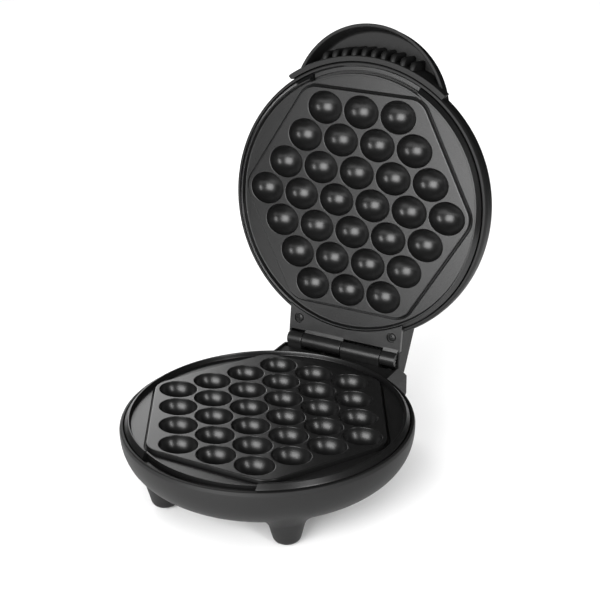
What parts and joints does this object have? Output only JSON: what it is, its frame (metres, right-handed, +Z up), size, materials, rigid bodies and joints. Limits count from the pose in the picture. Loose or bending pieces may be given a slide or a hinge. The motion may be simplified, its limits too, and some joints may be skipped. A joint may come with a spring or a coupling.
{
  "type": "bubble waffle maker",
  "caption": "Round electric bubble waffle iron on moulded legs: two hexagonal plates of ball-shaped cavities, hinged at the back, with a scooped lid handle.",
  "frame": {"origin": "on the surface that the foot pads stand on, under the middle of the whole part with its lid open", "axes": "+X to the right seen from the front, -Y towards the front (the opening side), +Z up; the hinge runs along X at the back"},
  "size_m": [0.208, 0.2906, 0.2975],
  "materials": {
    "housing": "fine matt texture",
    "hinge_plastic": "satin black",
    "nonstick": "cast aluminium under a dark satin non-stick coating",
    "element": "sheathed tube, matt",
    "reflector": "mill finish",
    "screw_steel": "zinc plated",
    "screw_black": "black oxide",
    "pin_steel": "ground",
    "rubber": "matt",
    "ceramic": "unglazed",
    "red_lens": "clear tinted",
    "green_lens": "clear tinted"
  },
  "bodies": {
    "base": {"lower_housing": "housing", "lower_cooking_plate": "nonstick", "lower_heating_element": "element", "lower_heat_reflector": "reflector", "lower_plate_screws": "screw_steel", "thermostat": "ceramic", "thermal_fuse": "screw_steel", "terminal_block": "ceramic", "cord_inlet_gland": "rubber", "base_hinge_bracket": "hinge_plastic", "base_hinge_screws": "screw_steel", "hinge_pin": "pin_steel", "foot_pad_front_left": "rubber", "foot_pad_front_right": "rubber", "foot_pad_rear_left": "rubber", "foot_pad_rear_right": "rubber"},
    "lid": {"upper_housing": "housing", "upper_cooking_plate": "nonstick", "upper_heating_element": "element", "upper_heat_reflector": "reflector", "upper_plate_screws": "screw_steel", "lid_handle": "housing", "lid_hinge_leaf": "hinge_plastic", "lid_hinge_screw_left": "screw_black", "lid_hinge_screw_right": "screw_black", "power_lamp_lens": "red_lens", "ready_lamp_lens": "green_lens", "lamp_holder": "ceramic"}
  },
  "joints": [
    {"name": "lid_hinge", "type": "hinge", "parent": "base", "child": "lid", "pos_m": [0, 0.07238, 0.0573], "axis": [1, 0, 0], "range_deg": [0, 99.4]}
  ]
}
